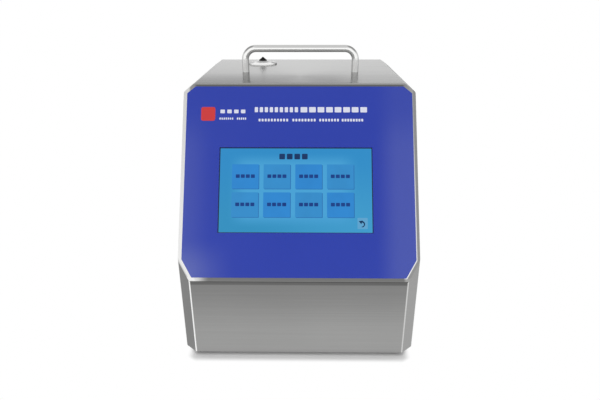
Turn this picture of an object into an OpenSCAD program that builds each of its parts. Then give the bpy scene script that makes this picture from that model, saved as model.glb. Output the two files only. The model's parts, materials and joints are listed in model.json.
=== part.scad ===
// Portable airborne particle counter: a welded stainless housing with a sloping touch display,
// a sampling inlet on top and the whole air path inside. Millimetres, +Z up, front towards -Y.

/* [Housing] */
// Width of the housing
body_w = 240; // [225:1:280]
// Depth of the housing, front face to rear panel
body_d = 288; // [284:1:320]
// Height of the housing without its feet
body_h = 261; // [250:1:290]
// Height of the knee where the lower front meets the slope
knee_h = 86; // [80:1:92]
// How far the top's front edge lies behind the lower front
top_setback = 104; // [96:1:112]
// Thickness of the stainless sheet
sheet_t = 1.5; // [1.2:0.1:2]
// Outside radius of the folds
bend_r = 3; // [2.2:0.1:4]
// Width of the bevels along the top's side edges
top_bevel_w = 11; // [8:0.5:14]
// Drop of the bevels along the top's side edges
top_bevel_h = 8; // [6:0.5:12]
// Width of the bevels on the lower front's side edges
front_bevel_w = 12; // [8:0.5:13]
// Depth of the bevels on the lower front's side edges
front_bevel_d = 10.5; // [7:0.5:12]
// Width of the return flanges at the bottom and the rear
flange_w = 12; // [10:0.5:14]
// Thickness of the base plate
base_t = 2; // [1.5:0.1:3]
// Thickness of the rear panel
rear_t = 1.5; // [1.2:0.1:2.5]
// Gap round the base plate and the rear panel
panel_gap = 0.3; // [0.2:0.05:0.6]

/* [Feet] */
// Height that the rubber feet lift the housing
foot_h = 5; // [4:0.5:10]
// Radius of a foot
foot_r = 10; // [8:0.5:12]
// Distance of a foot's centre from the housing's sides and ends
foot_inset = 20; // [19:0.5:21]

/* [Display] */
// Width of the lit area
screen_w = 154.1; // [140:0.1:165]
// Height of the lit area
screen_h = 85.9; // [78:0.1:95]
// Sideways offset of the lit area from the middle
screen_x = -3.4; // [-6:0.1:6]
// Distance along the slope from the knee to the lit area
screen_rise = 48.7; // [42:0.1:56]
// Dark margin between the lit area and the window's edge
window_gap = 0.7; // [0.3:0.1:1.5]
// Thickness of the printed front sheet
overlay_t = 0.8; // [0.5:0.1:1.2]
// Steel left bare round the printed front sheet
overlay_inset = 3.8; // [2:0.1:5]
// Thickness of the touch glass
glass_t = 1.1; // [0.8:0.1:2]
// How far the touch glass reaches past the window on each side
glass_edge = 5; // [3:0.5:8]
// Thickness of the display module
lcd_t = 5.5; // [4:0.1:8]
// Thickness of the display bracket
bracket_t = 1.5; // [1:0.1:2]

/* [Handle] */
// Distance between the handle's legs
handle_pitch = 128; // [110:1:150]
// Diameter of the handle's rod
handle_rod = 8; // [7:0.1:10]
// Bend radius at the middle of the rod
handle_bend = 12.5; // [9:0.5:16]
// Height of the rod's middle above the top
handle_rise = 26.4; // [24:0.1:45]
// Distance of the handle behind the lower front
handle_y = 180; // [165:1:200]
// Radius of the handle's fixing screws
handle_screw_r = 2.5; // [2:0.1:3]

/* [Inlet] */
// Sideways place of the sampling inlet
inlet_x = -49; // [-54:0.5:-45]
// Distance of the sampling inlet ahead of the rear
inlet_back = 43; // [40:0.5:45]
// Radius of the inlet's polished flange
inlet_flange_r = 18; // [16:0.5:20]
// Thickness of the inlet's flange at its rim
inlet_flange_t = 1.5; // [1:0.1:2.5]
// Height of the inlet's raised cone over the top
inlet_cone_h = 4.5; // [3:0.1:6]
// Radius of the sampling bore
inlet_bore_r = 4; // [3:0.1:4.3]
// Height of the pointed cap above its seat
cap_h = 4.6; // [3.5:0.1:7]
// Depth of the cap's plug in the bore
cap_plug = 4; // [3:0.5:6]

/* [Air path] */
// Radius of every hose barb
barb_r = 5; // [4.6:0.1:5.5]
// Length of every hose barb
barb_l = 12; // [10:0.5:14]
// Radius of the bore in barbs below the inlet
barb_bore_r = 3; // [2:0.1:3.5]
// Wall of the hoses
hose_wall = 2.4; // [1.5:0.1:3]
// Bend radius of the exhaust hose
hose_bend = 16; // [14:0.5:18]
// Width of the optical block
sensor_w = 84; // [76:1:90]
// Depth of the optical block
sensor_d = 40; // [36:1:44]
// Height of the optical block
sensor_h = 34; // [30:1:40]
// Height of the optical block's shelf above the base plate
sensor_z = 168; // [160:1:176]
// Side of the pump's square head
pump_side = 44; // [40:1:48]
// Radius of the pump's motor
motor_r = 20; // [16:0.5:21]
// Length of the pump's motor
motor_l = 62; // [50:1:70]
// Radius of the exhaust filter's capsule
filter_r = 20; // [16:0.5:22]
// Length of the exhaust filter's capsule
filter_l = 50; // [40:1:54]
// Radius of the exhaust port's stub
port_r = 5; // [4:0.1:6]
// Radius of the exhaust port's bore
port_bore_r = 3.4; // [2.5:0.1:3.6]
// Length of the exhaust port's stub
port_l = 13; // [10:0.5:18]

/* [Power] */
// Width, depth and height of the battery pack
battery_size = [150, 62, 46];
// Width, depth and thickness of the power supply's board
supply_size = [50.8, 101.6, 1.6];
// Height of the circuit boards' standoffs
standoff_h = 8; // [6:0.5:12]

/* [Rear panel] */
// Height above the base of the sockets and the switch
ports_z = 112; // [105:1:125]
// Sideways place of the mains inlet
mains_x = 72; // [66:1:76]
// Sideways place of the power switch
switch_x = 24; // [18:1:30]
// Sideways place of the serial port
serial_x = -35; // [-40:1:-28]
// Sideways place of the USB port
usb_x = -78; // [-84:1:-72]
// Sideways place of the fan
fan_x = 52; // [46:1:60]
// Height above the base of the fan
fan_z = 192; // [184:1:200]
// Side of the fan's frame
fan_side = 60; // [56:1:64]
// Depth of the fan's frame
fan_depth = 15; // [12:0.5:20]
// Turn of the rocker from one stop to the other, in degrees
rocker_travel = 16; // [12:1:20]

/* [Fasteners] */
// Radius of the panel screws' shanks
screw_r = 2; // [1.5:0.1:2.2]
// Radius of the small inner screws' shanks
small_r = 1.5; // [1.2:0.1:1.8]
// Gap all round a screw in its hole
hole_gap = 0.1; // [0.05:0.05:0.3]
// Gap all round a fitted round part in its seat
seat_gap = 0.05; // [0.03:0.01:0.1]

/* [Hidden] */
$fn = 64;
arc_steps = 6;
over = 1; // how far a cutter runs past the face it cuts

// Levels of the housing. The origin is under the middle of the whole object, port included.
port_collar_t = 3;
rear_reach = port_collar_t + port_l;
y_front = -(body_d + rear_reach) / 2;
y_rear = y_front + body_d;
y_panel = y_rear - rear_t;
y_top = y_front + top_setback;
z_base = foot_h;
z_floor = z_base + base_t;
z_knee = z_base + knee_h;
z_top = z_base + body_h;
z_roof = z_top - sheet_t;
half_w = body_w / 2;
slope_a = atan2(top_setback, body_h - knee_h);
slope_l = norm([top_setback, body_h - knee_h]);
inner_r = bend_r - sheet_t;

// Outlines of the housing, counter-clockwise: from the side, from above and from the front.
side_pts = [
    [y_front, z_base], [y_rear, z_base], [y_rear, z_top], [y_top, z_top], [y_front, z_knee]
];
plan_pts = [
    [front_bevel_w - half_w, y_front], [half_w - front_bevel_w, y_front],
    [half_w, y_front + front_bevel_d], [half_w, y_rear],
    [-half_w, y_rear], [-half_w, y_front + front_bevel_d]
];
front_pts = [
    [-half_w, z_base], [half_w, z_base], [half_w, z_top - top_bevel_h],
    [half_w - top_bevel_w, z_top], [top_bevel_w - half_w, z_top], [-half_w, z_top - top_bevel_h]
];
// The sloping face in its own plane: x across, then the distance up the slope from the knee.
low_cut = front_bevel_d / sin(slope_a);
high_cut = slope_l - top_bevel_h / cos(slope_a);
face_pts = [
    [front_bevel_w - half_w, 0], [half_w - front_bevel_w, 0], [half_w, low_cut],
    [half_w, high_cut], [half_w - top_bevel_w, slope_l], [top_bevel_w - half_w, slope_l],
    [-half_w, high_cut], [-half_w, low_cut]
];

// Depths behind the sloping face's outside, and the display stack's outlines.
z_glass = -sheet_t - glass_t;
z_lcd = z_glass - lcd_t;
z_bracket = z_lcd - bracket_t;
window_w = screen_w + 2 * window_gap;
window_h = screen_h + 2 * window_gap;
glass_w = window_w + 2 * glass_edge;
glass_h = window_h + 2 * glass_edge;
screen_mid = screen_rise + screen_h / 2;
stud_x = glass_w / 2 + 4;
stud_s = glass_h / 2 - 8;
ear_r = 6;
nut_t = 3.2;
board_w = 150;
board_h = 80;
board_t = 1.6;
cable_slot = 26;
board_hole_x = board_w / 2 - 6;
board_hole_s = board_h / 2 - 6;

// Fasteners and seats.
screw_hole = screw_r + hole_gap;
washer_t = 1;
handle_screw_l = 12;
foot_web = 2;
vent_w = 3;
vent_l = 36;
vent_pitch = 8;
vent_count = 7;
head_r = 2 * screw_r;
small_hole = small_r + hole_gap;
small_head = 2 * small_r;
standoff_r = 3;
panel_inset = sheet_t + flange_w / 2;
side_screw_x = half_w - panel_inset;
base_screw_ys = [y_front + 42, y_front + body_d / 2, y_rear - 42];
rear_screw_zs = [z_base + 30, z_base + body_h / 2, z_top - 30];
edge_screw_x = body_w / 4;
low_screw_z = z_floor + flange_w / 2;
high_screw_z = z_roof - flange_w / 2;

// The air path, from the inlet down through the optical block and the pump to the rear port.
air_x = inlet_x;
air_y = y_rear - inlet_back;
hose_bore = barb_r + hole_gap;
hose_r = hose_bore + hose_wall;
shank_r = barb_r + 1.5;
inlet_nut_t = 5;
inlet_shank = sheet_t + inlet_nut_t + 2;
inlet_low = z_top - inlet_shank - barb_l;
cap_socket_r = inlet_bore_r + 0.5; // the wider mouth that holds the cap's plug
cap_socket_l = inlet_cone_h + 1;
cap_seat_r = inlet_bore_r + 2;
cap_r = inlet_bore_r + 1;
shelf_t = 2;
z_shelf = z_floor + sensor_z;
z_block = z_shelf;
z_block_top = z_block + sensor_h;
z_beam = z_block + sensor_h / 2;
collar_r = 9;
collar_t = 3;
nozzle_seat = 8;
nozzle_r = 7;
leg_gap = 4;
leg_x = sensor_w / 2 + leg_gap;
stand_foot = 12;
laser_r = 8;
laser_in = 18;
laser_out = 20;
trap_r = 7;
trap_in = 16;
trap_out = 8;
lens_r = 9;
tube_wall = 2.5;
tube_out = 12;
detector_w = 32;
detector_h = 28;
grommet_h = 6;
cradle_t = 2;
saddle_w = 6;
pump_plate_w = pump_side + 12;
pump_plate_l = pump_side + motor_l + 8;
z_pump = z_floor + grommet_h + cradle_t;
z_axis = z_pump + pump_side / 2;
pump_right = air_x + pump_side / 2;
hose_grip = barb_l - 1;
filter_x0 = pump_right + 2 * barb_l + 6;
filter_x1 = filter_x0 + filter_l;
cap_end = 6; // length of the filter's tapered ends
port_x = filter_x1 + barb_l + 1 + hose_bend;
port_shank = rear_t + 8;
port_nut_t = 4;
port_low = y_rear - port_shank - barb_l;
port_bore_y0 = 0.5; // where the bore widens, from the rear panel's face

// Battery, power supply and rear devices.
battery_y = y_front + sheet_t + flange_w + 4;
strap_t = 1.2;
strap_w = 20;
strap_foot = 12;
strap_gap = 0.3;
supply_x = half_w - sheet_t - flange_w - supply_size[0] / 2 - 3;
supply_y = battery_y + battery_size[1] + 8;
transformer = [32, 30, 24];
heat_sink = [40, 4, 26];
choke = [22, 18, 16];
can_r = 9;
can_h = 26;
z_ports = z_base + ports_z;
z_fan = z_base + fan_z;
bezel_t = 2;
mains_w = 28;
mains_h = 31;
mains_deep = 27;
mains_flange = [50, 35];
mains_ear = 20;
socket_w = 24;
socket_h = 16.8;
socket_deep = 16;
socket_up = 5;
pin_root = 4;
pin_l = 13;
drawer_w = 20;
drawer_h = 8;
drawer_deep = 20;
drawer_down = 10;
drawer_gap = 0.3;
fuse_r = 2.6;
fuse_l = 17;
switch_w = 13;
switch_h = 19;
switch_deep = 20;
rocker_w = 10;
rocker_r = 8.2;
rocker_gap = 0.3;
pivot_r = 1.2;
pivot_in = 1.5;
dsub_w = 18;
dsub_h = 9;
dsub_flange = [31, 12.5];
dsub_pitch = 25;
usb_w = 13.2;
usb_h = 5.8;
usb_deep = 13;
comm_y = y_panel - usb_deep - board_t;
comm_edge = 14; // how far the board reaches past the USB port's middle
comm_h = 30;
fan_hole_r = fan_side / 2 - 2;
fan_pitch = fan_side - 10;
fan_hub_r = 12;
fan_gap = 0.6;
strut_t = 2;
blade_count = 7;
shaft_r = 1.5;
guard_wire = 1.6; // width of the guard's rings, and its thickness
guard_step = 5;
cutout_gap = 0.3;

// ---- Helpers ----

function unit(v) = v / norm(v);
function left_normal(a, b) = unit([a[1] - b[1], b[0] - a[0]]);

// A convex outline with each edge moved inwards by its own distance.
function inset_pts(p, d) = [
    for (i = [0:len(p) - 1])
        let (
            last = (i + len(p) - 1) % len(p),
            n0 = left_normal(p[last], p[i]),
            n1 = left_normal(p[i], p[(i + 1) % len(p)]),
            det = n0[0] * n1[1] - n0[1] * n1[0]
        )
        p[i] + [d[last] * n1[1] - d[i] * n0[1], n0[0] * d[i] - n1[0] * d[last]] / det
];

// The arc that rounds corner b between its neighbours a and c.
function corner_arc(a, b, c, r) =
    let (
        u = unit(a - b),
        v = unit(c - b),
        half = acos(u * v) / 2,
        mid = b + unit(u + v) * r / sin(half),
        from = b + u * r / tan(half) - mid,
        start = atan2(from[1], from[0]),
        turn = 180 - 2 * half
    )
    [for (k = [0:arc_steps]) let (t = start + turn * k / arc_steps) mid + r * [cos(t), sin(t)]];

// A counter-clockwise convex outline with a radius at each corner, 0 for a sharp one.
function round_pts(p, r) = [
    for (i = [0:len(p) - 1])
        each r[i] > 0
            ? corner_arc(p[(i + len(p) - 1) % len(p)], p[i], p[(i + 1) % len(p)], r[i])
            : [p[i]]
];

function box_pts(w, h) = [[-w / 2, -h / 2], [w / 2, -h / 2], [w / 2, h / 2], [-w / 2, h / 2]];
function round_box(w, h, r) = round_pts(box_pts(w, h), [r, r, r, r]);

// Extrusions of a drawing along X, between two levels on Y, and up from a level on Z.
module along_x(x0, x1) {
    translate([x0, 0, 0]) rotate([90, 0, 90]) linear_extrude(x1 - x0) children();
}

module along_y(y0, y1) {
    translate([0, y1, 0]) rotate([90, 0, 0]) linear_extrude(y1 - y0) children();
}

module along_z(z0, z1) {
    translate([0, 0, z0]) linear_extrude(z1 - z0) children();
}

// Cylinders from one point along an axis.
module rod_x(p, l, r) translate(p) rotate([0, 90, 0]) cylinder(h = l, r = r);
module rod_y(p, l, r) translate(p) rotate([-90, 0, 0]) cylinder(h = l, r = r);
module rod_z(p, l, r) translate(p) cylinder(h = l, r = r);

// Places what follows on the sloping face, at the middle of the display.
module on_slope() {
    translate([0, y_front, z_knee]) rotate([90 - slope_a, 0, 0]) children();
}

module at_screen() {
    on_slope() translate([screen_x, screen_mid, 0]) children();
}

module at_studs(x, s) {
    for (i = [-1, 1], j = [-1, 1]) translate([i * x, j * s, 0]) children();
}

// A pan-head screw: its head stands on the origin's plane and its shank runs down Z.
module pan_screw(r, l) {
    cylinder(h = 1.2 * r, r1 = 2 * r, r2 = 1.5 * r);
    rod_z([0, 0, -l], l, r);
}

module hex_prism(flats, h) {
    cylinder(h = h, r = flats / sqrt(3), $fn = 6);
}

// The housing's form between its walls: inset of the walls, the rear and the bottom.
module housing_form(wall, rear, bottom, r) {
    intersection() {
        along_x(-half_w, half_w)
            polygon(round_pts(inset_pts(side_pts, [bottom, rear, wall, wall, wall]),
                              [0, 0, 0, r, r]));
        along_z(z_base - over, z_top + over)
            polygon(round_pts(inset_pts(plan_pts, [wall, wall, wall, rear, wall, wall]),
                              [r, r, r, 0, 0, r]));
        along_y(y_front - over, y_rear + over)
            polygon(round_pts(inset_pts(front_pts, [bottom, wall, wall, wall, wall, wall]),
                              [0, 0, r, r, r, r]));
    }
}

// Outline of a plate that closes the bottom, or the rear, inset from the housing's outside.
module base_outline(wall, rear) {
    polygon(round_pts(inset_pts(plan_pts, [wall, wall, wall, rear, wall, wall]),
                      [inner_r, inner_r, inner_r, 0, 0, inner_r]));
}

module rear_outline(wall, bottom) {
    polygon(round_pts(inset_pts(front_pts, [bottom, wall, wall, wall, wall, wall]),
                      [0, 0, inner_r, inner_r, inner_r, inner_r]));
}

module at_base_screws() {
    for (x = [-side_screw_x, side_screw_x], y = base_screw_ys) translate([x, y, z_base]) children();
}

module at_rear_screws() {
    for (x = [-side_screw_x, side_screw_x], z = rear_screw_zs)
        translate([x, y_rear, z]) rotate([-90, 0, 0]) children();
    for (x = [-edge_screw_x, edge_screw_x], z = [low_screw_z, high_screw_z])
        translate([x, y_rear, z]) rotate([-90, 0, 0]) children();
}

module at_feet() {
    for (i = [-1, 1], y = [y_front + foot_inset, y_rear - foot_inset])
        translate([i * (half_w - foot_inset), y, 0]) children();
}

// ---- Housing ----

module window_cut() {
    at_screen() along_z(-sheet_t - over, overlay_t + over) polygon(box_pts(window_w, window_h));
}

module casing() color("silver") {
    difference() {
        union() {
            difference() {
                housing_form(0, 0, 0, bend_r);
                housing_form(sheet_t, -over, -over, inner_r);
            }
            along_z(z_floor, z_floor + sheet_t)
                difference() {
                    base_outline(sheet_t / 2, rear_t);
                    base_outline(sheet_t + flange_w, rear_t + flange_w);
                }
            along_y(y_panel - sheet_t, y_panel)
                difference() {
                    rear_outline(sheet_t / 2, base_t);
                    rear_outline(sheet_t + flange_w, base_t + flange_w);
                }
            at_screen() at_studs(stud_x, stud_s)
                rod_z([0, 0, z_bracket - nut_t], -sheet_t / 2 - z_bracket + nut_t, screw_r);
        }
        window_cut();
        for (i = [-1, 1])
            rod_z([i * handle_pitch / 2, y_front + handle_y, z_roof - over],
                  sheet_t + 2 * over, handle_screw_r + hole_gap);
        rod_z([air_x, air_y, z_roof - over], sheet_t + 2 * over, shank_r + hole_gap);
        at_base_screws() rod_z([0, 0, -over], base_t + sheet_t + 2 * over, screw_hole);
        at_rear_screws() rod_z([0, 0, over - rear_t - sheet_t - 2 * over],
                               rear_t + sheet_t + 2 * over, screw_hole);
    }
}

module base_plate() color("silver") {
    difference() {
        along_z(z_base, z_floor) base_outline(sheet_t + panel_gap, 0);
        at_base_screws() rod_z([0, 0, -over], base_t + 2 * over, screw_hole);
        at_feet() rod_z([0, 0, z_base - over], base_t + 2 * over, screw_hole);
        for (k = [0:vent_count - 1])
            translate([supply_x, supply_y + supply_size[1] / 2
                       + (k - (vent_count - 1) / 2) * vent_pitch, 0])
                along_z(z_base - over, z_floor + over)
                    polygon(round_box(vent_l, vent_w, vent_w / 2.01));
        at_inner_screws() rod_z([0, 0, -base_t - over], base_t + 2 * over, small_hole);
    }
}

module rear_panel() color("silver") {
    difference() {
        along_y(y_panel, y_rear) rear_outline(sheet_t + panel_gap, base_t + panel_gap);
        at_rear_screws() rod_z([0, 0, -rear_t - over], rear_t + 2 * over, screw_hole);
        along_y(y_panel - over, y_rear + over) {
            translate([fan_x, z_fan]) circle(r = fan_hole_r);
            translate([fan_x, z_fan]) at_corners(fan_pitch / 2) circle(r = small_hole);
            translate([mains_x, z_ports])
                square([mains_w + 2 * cutout_gap, mains_h + 2 * cutout_gap], center = true);
            for (i = [-1, 1]) translate([mains_x + i * mains_ear, z_ports]) circle(r = small_hole);
            translate([switch_x, z_ports])
                square([switch_w + 2 * cutout_gap, switch_h + 2 * cutout_gap], center = true);
            translate([serial_x, z_ports])
                square([dsub_w + 2 * cutout_gap, dsub_h + 2 * cutout_gap], center = true);
            for (i = [-1, 1]) translate([serial_x + i * dsub_pitch / 2, z_ports]) circle(r = small_hole);
            translate([usb_x, z_ports])
                square([usb_w + 2 * cutout_gap, usb_h + 2 * cutout_gap], center = true);
            translate([port_x, z_axis]) circle(r = shank_r + hole_gap);
        }
    }
}

module at_corners(d) {
    for (i = [-1, 1], j = [-1, 1]) translate([i * d, j * d]) children();
}

// ---- Display ----

module front_overlay() color("royalblue") {
    difference() {
        on_slope() along_z(0, overlay_t)
            polygon(round_pts(inset_pts(face_pts, [for (p = face_pts) overlay_inset]),
                              [for (p = face_pts) 1]));
        window_cut();
    }
}

module touch_glass() color("black") {
    at_screen() along_z(z_glass, -sheet_t) polygon(round_box(glass_w, glass_h, 2));
}

module lcd_module() color("dimgray") {
    at_screen() along_z(z_lcd, z_glass) polygon(round_box(glass_w - 2, glass_h - 2, 1));
}

module display_bracket() color("gainsboro") {
    at_screen() difference() {
        union() {
            along_z(z_bracket, z_lcd) polygon(round_box(glass_w + 1, glass_h - 4, 3));
            at_studs(stud_x, stud_s) along_z(z_bracket, z_lcd)
                polygon(round_box(2 * ear_r, 2 * ear_r, 3));
        }
        along_z(z_bracket - over, z_lcd + over) {
            at_corners_xy(stud_x, stud_s) circle(r = screw_hole);
            at_corners_xy(board_hole_x, board_hole_s) circle(r = small_hole);
            for (i = [-1, 1]) translate([i * board_w / 6, 0])
                polygon(round_box(cable_slot, cable_slot, 4));
        }
    }
}

module at_corners_xy(x, y) {
    for (i = [-1, 1], j = [-1, 1]) translate([i * x, j * y]) children();
}

module bracket_nuts() color("silver") {
    at_screen() at_studs(stud_x, stud_s) difference() {
        translate([0, 0, z_bracket - nut_t]) hex_prism(3.5 * screw_r, nut_t);
        rod_z([0, 0, z_bracket - nut_t - over], nut_t + 2 * over, screw_hole);
    }
}

module board_standoffs() color("gold") {
    at_screen() at_studs(board_hole_x, board_hole_s) {
        translate([0, 0, z_bracket - standoff_h]) hex_prism(2 * standoff_r, standoff_h);
        rod_z([0, 0, z_bracket], bracket_t, small_r);
        rod_z([0, 0, z_bracket - standoff_h - board_t - 2], board_t + 2, small_r);
    }
}

module main_board() color("seagreen") {
    z0 = z_bracket - standoff_h - board_t;
    at_screen() {
        difference() {
            along_z(z0, z0 + board_t) polygon(round_box(board_w, board_h, 2));
            at_studs(board_hole_x, board_hole_s)
                rod_z([0, 0, z0 - over], board_t + 2 * over, small_hole);
        }
        for (chip = [[-28, 6, 26, 26, 1.6], [14, 12, 18, 12, 2], [14, -14, 24, 10, 2],
                     [50, 8, 14, 20, 8], [-58, -6, 10, 34, 7], [46, -22, 16, 12, 9]])
            translate([chip[0], chip[1], z0 - chip[4] / 2])
                cube([chip[2], chip[3], chip[4]], center = true);
    }
}

// ---- Handle ----

module handle_elbow() {
    rotate([90, 0, 0]) rotate_extrude(angle = 90) translate([handle_bend, 0]) circle(d = handle_rod);
}

module handle() color("lightgray") {
    leg_l = handle_rise - handle_bend;
    bar_l = handle_pitch - 2 * handle_bend;
    translate([0, y_front + handle_y, z_top]) difference() {
        union() {
            rod_x([-bar_l / 2, 0, handle_rise], bar_l, handle_rod / 2);
            for (i = [0, 1]) mirror([i, 0, 0]) {
                rod_z([handle_pitch / 2, 0, 0], leg_l, handle_rod / 2);
                translate([bar_l / 2, 0, leg_l]) handle_elbow();
            }
        }
        for (i = [-1, 1])
            rod_z([i * handle_pitch / 2, 0, -over], leg_l + over, handle_screw_r + hole_gap);
    }
}

module handle_screws() color("silver") {
    for (i = [-1, 1])
        translate([i * handle_pitch / 2, y_front + handle_y, z_roof - washer_t])
            mirror([0, 0, 1]) pan_screw(handle_screw_r, handle_screw_l);
}

module handle_washers() color("silver") {
    for (i = [-1, 1]) translate([i * handle_pitch / 2, y_front + handle_y, 0]) difference() {
        rod_z([0, 0, z_roof - washer_t], washer_t, 2.4 * handle_screw_r);
        rod_z([0, 0, z_roof - washer_t - over], washer_t + 2 * over, handle_screw_r + hole_gap);
    }
}

// ---- Sampling inlet ----

module inlet_fitting() color("whitesmoke") {
    translate([air_x, air_y, z_top]) difference() {
        rotate_extrude() polygon([
            [0, -inlet_shank - barb_l], [barb_r, -inlet_shank - barb_l],
            [barb_r, -inlet_shank], [shank_r, -inlet_shank], [shank_r, 0],
            [inlet_flange_r, 0], [inlet_flange_r, inlet_flange_t - 0.5],
            [inlet_flange_r - 0.5, inlet_flange_t], [inlet_flange_r - 2.5, inlet_flange_t],
            [cap_seat_r, inlet_cone_h], [0, inlet_cone_h]
        ]);
        rod_z([0, 0, -inlet_shank - barb_l - over],
              inlet_shank + barb_l + inlet_cone_h + 2 * over, inlet_bore_r);
        rod_z([0, 0, inlet_cone_h - cap_socket_l], cap_socket_l + over, cap_socket_r);
    }
}

module inlet_nut() color("silver") {
    translate([air_x, air_y, z_roof - inlet_nut_t]) difference() {
        hex_prism(2 * shank_r + 6, inlet_nut_t);
        rod_z([0, 0, -over], inlet_nut_t + 2 * over, shank_r + hole_gap);
    }
}

module inlet_cap() color("black") {
    translate([air_x, air_y, z_top + inlet_cone_h]) rotate_extrude() polygon([
        [0, -cap_plug], [cap_socket_r - seat_gap - 0.4, -cap_plug],
        [cap_socket_r - seat_gap, 0.4 - cap_plug], [cap_socket_r - seat_gap, 0],
        [cap_r, 0], [cap_r, 0.6], [0.8, cap_h - 0.5], [0.4, cap_h - 0.1], [0, cap_h]
    ]);
}

// A straight hose over two barbs, along Z.
module hose_z(z0, z1) {
    translate([air_x, air_y, 0]) difference() {
        rod_z([0, 0, z0], z1 - z0, hose_r);
        rod_z([0, 0, z0 - over], z1 - z0 + 2 * over, hose_bore);
    }
}

module inlet_hose() color("lightgray") {
    hose_z(z_block_top + collar_t + 1, inlet_low + hose_grip);
}

// ---- Optical sensor ----

// A turned fitting: a barb, a collar that seats on a face and a spigot in the block. The
// collar's seat is the origin's plane and the barb points up.
module barb_fitting(spigot_r, spigot_l, bore_r) {
    difference() {
        rotate_extrude() polygon([
            [0, -spigot_l], [spigot_r, -spigot_l], [spigot_r, 0], [collar_r, 0],
            [collar_r, collar_t], [barb_r, collar_t], [barb_r, collar_t + barb_l],
            [0, collar_t + barb_l]
        ]);
        rod_z([0, 0, -spigot_l - over], spigot_l + collar_t + barb_l + 2 * over, bore_r);
    }
}

module jet_nozzle() color("goldenrod") {
    translate([air_x, air_y, z_block_top]) barb_fitting(nozzle_r - seat_gap, nozzle_seat, 1.5);
}

module sensor_outlet() color("goldenrod") {
    translate([air_x, air_y, z_shelf - shelf_t]) mirror([0, 0, 1])
        barb_fitting(nozzle_r - seat_gap, nozzle_seat + shelf_t, barb_bore_r);
}

module sensor_block() color("dimgray") {
    difference() {
        translate([air_x, air_y, 0]) along_z(z_block, z_block_top)
            polygon(round_box(sensor_w, sensor_d, 3));
        rod_z([air_x, air_y, z_block - over], sensor_h + 2 * over, 4.5);
        rod_z([air_x, air_y, z_block - over], nozzle_seat + over, nozzle_r);
        rod_z([air_x, air_y, z_block_top - nozzle_seat], nozzle_seat + over, nozzle_r);
        rod_x([air_x - sensor_w / 2 - over, air_y, z_beam], sensor_w + 2 * over, 4);
        rod_x([air_x - sensor_w / 2 - over, air_y, z_beam], laser_in + over, laser_r + seat_gap);
        rod_x([air_x + sensor_w / 2 - trap_in, air_y, z_beam], trap_in + over, trap_r + seat_gap);
        rod_y([air_x, air_y - sensor_d / 2 - over, z_beam], sensor_d / 2 + over, 5);
        rod_y([air_x, air_y - sensor_d / 2 - over, z_beam], 6 + over, lens_r + seat_gap);
        at_sensor_screws() rod_z([0, 0, -over], 8 + over, small_hole);
    }
}

module at_sensor_screws() {
    for (i = [-1, 1], j = [-1, 1])
        translate([air_x + i * (sensor_w / 2 - 8), air_y + j * (sensor_d / 2 - 6), z_shelf]) children();
}

module laser_module() color("goldenrod") {
    translate([air_x - sensor_w / 2, air_y, z_beam]) difference() {
        union() {
            rod_x([0, 0, 0], laser_in, laser_r);
            rod_x([-laser_out, 0, 0], laser_out, laser_r + 2);
        }
        rod_x([laser_in - 6, 0, 0], 6 + over, 3);
        for (k = [1:3]) rod_x_ring(-laser_out + 4 * k, laser_r, laser_r + 2 + over, 2);
    }
}

module rod_x_ring(x, r0, r1, w) {
    difference() {
        rod_x([x, 0, 0], w, r1);
        rod_x([x - over, 0, 0], w + 2 * over, r0);
    }
}

module beam_trap() color("black") {
    translate([air_x + sensor_w / 2, air_y, z_beam]) difference() {
        union() {
            rod_x([-trap_in, 0, 0], trap_in, trap_r);
            rod_x([0, 0, 0], trap_out, trap_r + 2);
        }
        translate([-trap_in - 0.01, 0, 0]) rotate([0, 90, 0])
            cylinder(h = trap_in + trap_out - 3, r1 = trap_r - 1, r2 = 0.5);
    }
}

module detector_tube() color("dimgray") {
    translate([air_x, air_y - sensor_d / 2, z_beam]) difference() {
        rod_y([0, -tube_out, 0], tube_out, lens_r + tube_wall);
        rod_y([0, -tube_out - over, 0], tube_out + 2 * over, lens_r - 2);
    }
}

module collecting_lens() color("lightcyan") {
    lens_t = 5;
    ball_r = 22;
    $fn = 180;
    translate([air_x, air_y - sensor_d / 2 + lens_t / 2, z_beam]) intersection() {
        rod_y([0, -lens_t / 2, 0], lens_t, lens_r);
        translate([0, ball_r - lens_t / 2, 0]) sphere(r = ball_r);
        translate([0, lens_t / 2 - ball_r, 0]) sphere(r = ball_r);
    }
}

module detector_board() color("seagreen") {
    translate([air_x, air_y - sensor_d / 2 - tube_out, z_beam]) {
        along_y(-board_t, 0) polygon(round_box(detector_w, detector_h, 1));
        rod_y([0, 0, 0], 3, 4);
        rod_y([0, -board_t - 5, 0], 5, 2.5);
    }
}

// A folded stand: a shelf on two legs, with the legs' feet turned inwards on the base plate.
module sensor_bracket() color("gainsboro") {
    difference() {
        union() {
            translate([air_x, air_y, 0]) along_z(z_shelf - shelf_t, z_shelf)
                square([2 * leg_x, sensor_d], center = true);
            for (i = [-1, 1]) translate([air_x + i * (leg_x - shelf_t / 2), air_y, 0])
                along_z(z_floor, z_shelf) square([shelf_t, sensor_d], center = true);
            translate([air_x, air_y, 0]) along_z(z_floor, z_floor + shelf_t) difference() {
                square([2 * leg_x, sensor_d], center = true);
                square([2 * (leg_x - stand_foot), sensor_d + 2], center = true);
            }
        }
        rod_z([air_x, air_y, z_shelf - shelf_t - over], shelf_t + 2 * over, nozzle_r + seat_gap);
        rod_x([air_x, air_y, z_axis], leg_x + over, hose_r + 1);
        at_sensor_screws() rod_z([0, 0, -shelf_t - over], shelf_t + 2 * over, small_hole);
        at_stand_screws() rod_z([0, 0, -over], shelf_t + 2 * over, small_hole);
    }
}

module at_stand_screws() {
    for (i = [-1, 1], j = [-1, 1])
        translate([air_x + i * (leg_x - stand_foot / 2 - shelf_t / 2),
                   air_y + j * (sensor_d / 2 - 7), z_floor]) children();
}

// ---- Pump and exhaust ----

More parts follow.
